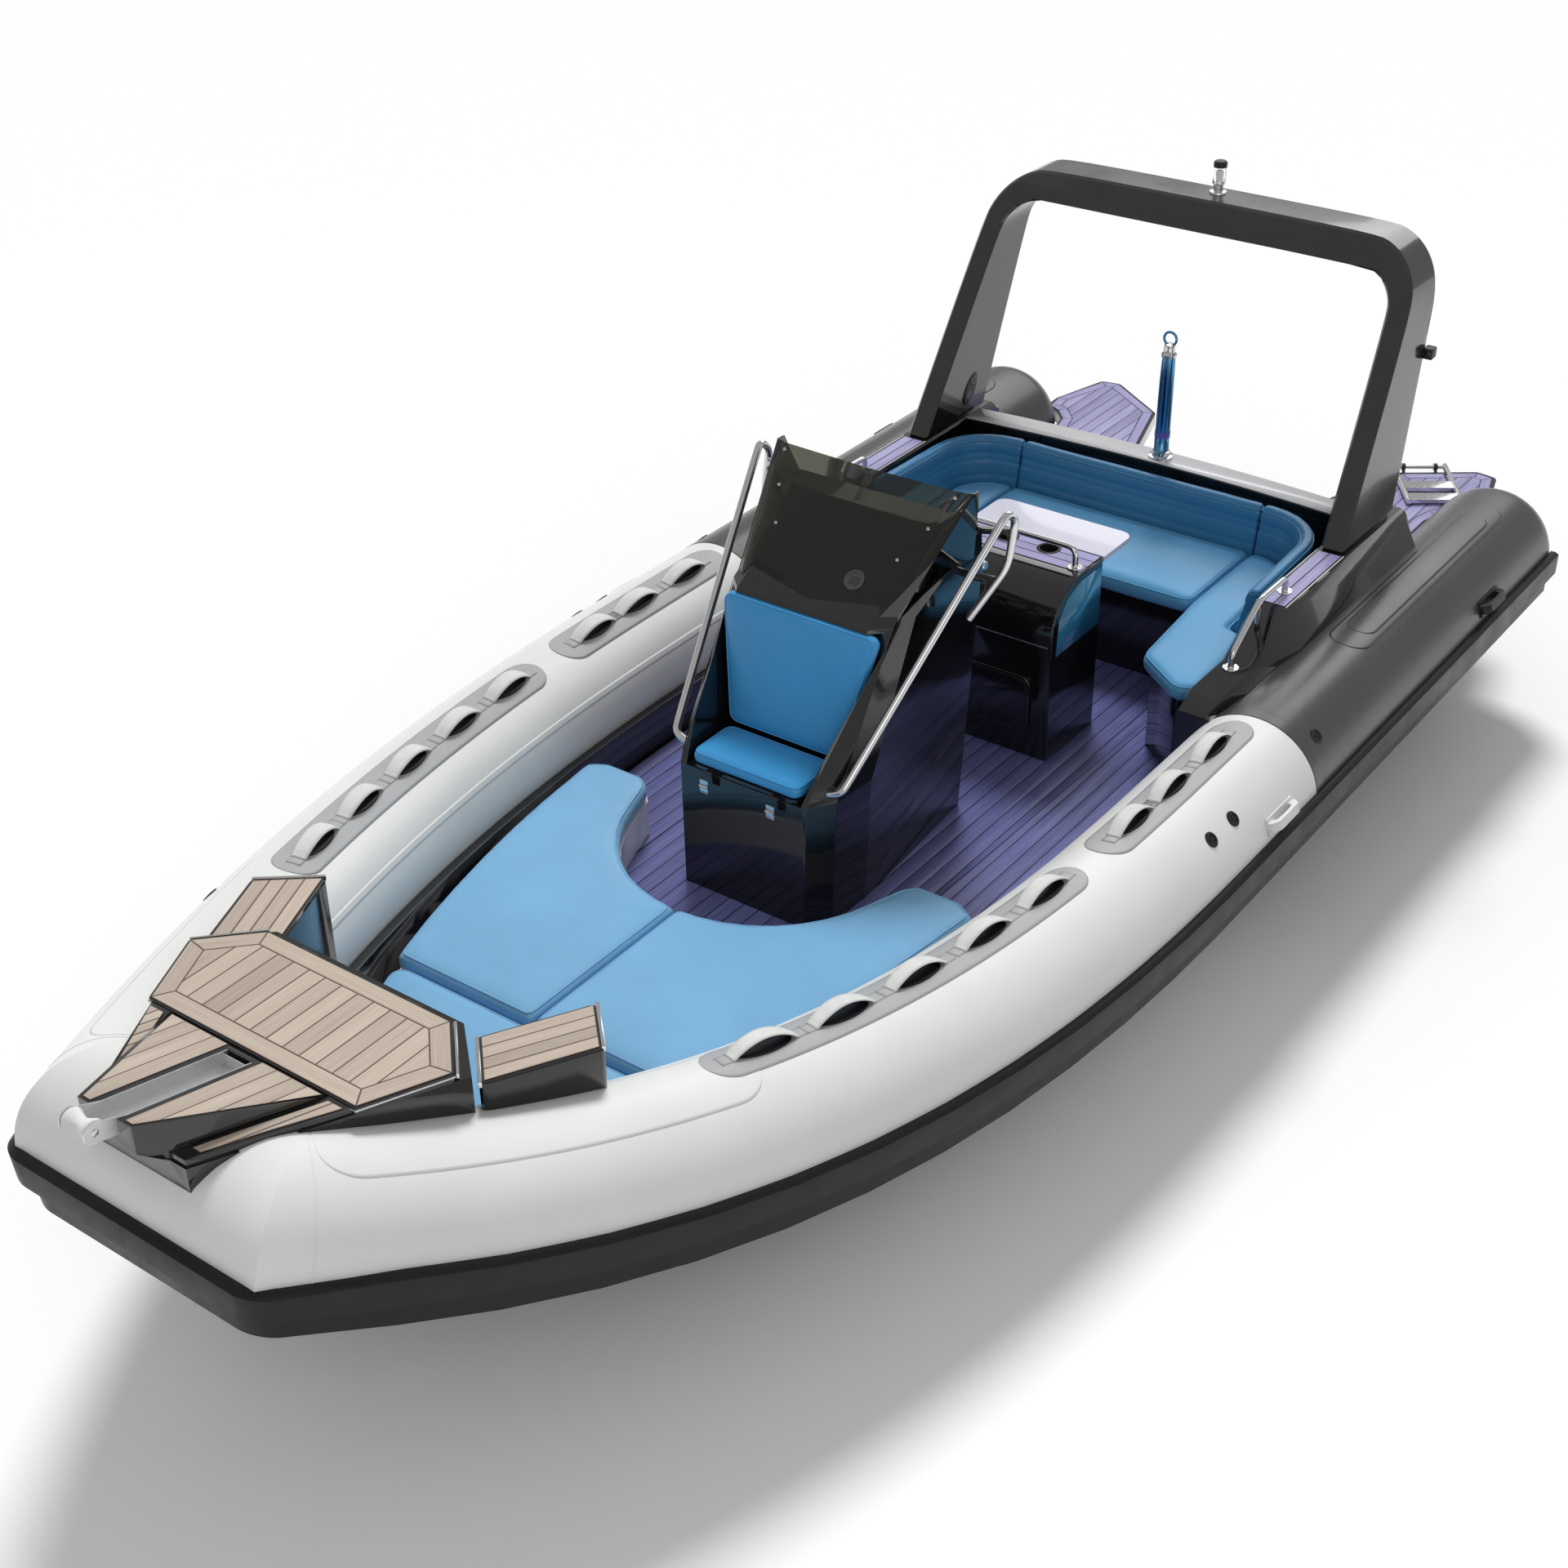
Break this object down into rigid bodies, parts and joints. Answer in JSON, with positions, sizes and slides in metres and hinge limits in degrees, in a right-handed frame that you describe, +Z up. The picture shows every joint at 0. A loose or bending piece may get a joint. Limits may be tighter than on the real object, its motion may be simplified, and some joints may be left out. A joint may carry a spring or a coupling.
{
  "type": "rigid inflatable boat",
  "caption": "Rigid inflatable boat with side tubes, bow sun pads and step platform, helm console with windshield, helm module, stern bench, folded arch and swim platforms.",
  "frame": {"origin": "on the resting plane under the keel, in the middle of the length and the beam", "axes": "+X to port, +Y towards the stern, +Z up"},
  "size_m": [2.93, 6.9179, 2.1803],
  "materials": {
    "white_tube": "satin",
    "charcoal_tube": "satin",
    "strake": "satin",
    "webbing": "matte",
    "white_handle": "satin",
    "black_handle": "satin",
    "hull_gelcoat": "gloss",
    "moulding_gelcoat": "gloss",
    "liner_gelcoat": "gloss",
    "teak": "matte",
    "lilac_teak": "matte",
    "sun_pad": "satin",
    "bench_vinyl": "satin",
    "stainless": "polished",
    "wheel_rim": "satin",
    "smoked_screen": "smoked",
    "lamp_lens": "clear"
  },
  "bodies": {
    "boat": {"arch": "moulding_gelcoat", "bench_back_centre": "bench_vinyl", "bench_back_port": "bench_vinyl", "bench_back_starboard": "bench_vinyl", "bench_base": "moulding_gelcoat", "bench_seat_centre": "bench_vinyl", "bench_seat_port": "bench_vinyl", "bench_seat_starboard": "bench_vinyl", "bow_cushion_front": "sun_pad", "bow_cushion_port": "sun_pad", "bow_cushion_starboard": "sun_pad", "bow_locker": "liner_gelcoat", "bow_platform": "moulding_gelcoat", "bow_step_port": "moulding_gelcoat", "bow_step_starboard": "moulding_gelcoat", "carry_handle_port_aft": "black_handle", "carry_handle_port_fore": "white_handle", "carry_handle_starboard_aft": "black_handle", "carry_handle_starboard_fore": "white_handle", "coaming_port": "moulding_gelcoat", "coaming_starboard": "moulding_gelcoat", "console_back_cushion": "sun_pad", "console_rail_port": "stainless", "console_rail_starboard": "stainless", "console_shell": "moulding_gelcoat", "deck_liner": "liner_gelcoat", "deck_sole": "lilac_teak", "grab_patch_port_aft": "webbing", "grab_patch_port_fore": "webbing", "grab_patch_starboard_aft": "webbing", "grab_patch_starboard_fore": "webbing", "helm_module": "moulding_gelcoat", "hull": "hull_gelcoat", "module_rail": "stainless", "nav_light": "lamp_lens", "roller_channel": "stainless", "ski_pole": "stainless", "stern_bulkhead": "moulding_gelcoat", "stern_rail_port": "stainless", "stern_rail_starboard": "stainless", "strake_port": "strake", "strake_starboard": "strake", "swim_platform_port": "moulding_gelcoat", "swim_platform_starboard": "moulding_gelcoat", "tube_bow": "white_tube", "tube_port_aft": "charcoal_tube", "tube_port_fore": "white_tube", "tube_starboard_aft": "charcoal_tube", "tube_starboard_fore": "white_tube", "windshield": "smoked_screen"},
    "anchor_hatch": {"anchor_hatch": "teak"},
    "seat_lid": {"console_seat_lid": "moulding_gelcoat", "console_seat_cushion": "sun_pad"},
    "module_door": {"module_door": "moulding_gelcoat"},
    "table_leaf": {"table_leaf": "lilac_teak"},
    "steering_wheel": {"steering_wheel": "wheel_rim"},
    "throttle_lever": {"throttle_lever": "stainless"},
    "bow_roller": {"bow_roller": "white_handle"},
    "boarding_ladder": {"boarding_ladder": "stainless"}
  },
  "joints": [
    {"name": "anchor_hatch_hinge", "type": "hinge", "parent": "boat", "child": "anchor_hatch", "pos_m": [0, -2.4934, 1.2063], "axis": [-1, 0, 0], "range_deg": [0, 100]},
    {"name": "seat_lid_hinge", "type": "hinge", "parent": "boat", "child": "seat_lid", "pos_m": [0, -0.776, 0.9313], "axis": [1, 0, 0], "range_deg": [0, 95]},
    {"name": "module_door_hinge", "type": "hinge", "parent": "boat", "child": "module_door", "pos_m": [0.3, 0.5927, 0.67], "axis": [0, 0, 1], "range_deg": [0, 110]},
    {"name": "table_leaf_hinge", "type": "hinge", "parent": "boat", "child": "table_leaf", "pos_m": [0.085, 0.9693, 1.138], "axis": [-1, 0, 0], "range_deg": [0, 90]},
    {"name": "steering_turn", "type": "hinge", "parent": "boat", "child": "steering_wheel", "pos_m": [0, 0.3, 1.26], "axis": [0, 0.9397, 0.342], "range_deg": [-540, 540]},
    {"name": "throttle_swing", "type": "hinge", "parent": "boat", "child": "throttle_lever", "pos_m": [0.2453, 0.215, 1.27], "axis": [1, 0, 0], "range_deg": [-38, 38]},
    {"name": "bow_roller_spin", "type": "hinge", "parent": "boat", "child": "bow_roller", "pos_m": [0, -3.424, 1.342], "axis": [1, 0, 0], "continuous": true},
    {"name": "ladder_swing", "type": "hinge", "parent": "boat", "child": "boarding_ladder", "pos_m": [0.67379, 3.3293, 0.704], "axis": [-0.832, -0.5548, 0], "range_deg": [0, 250]}
  ]
}
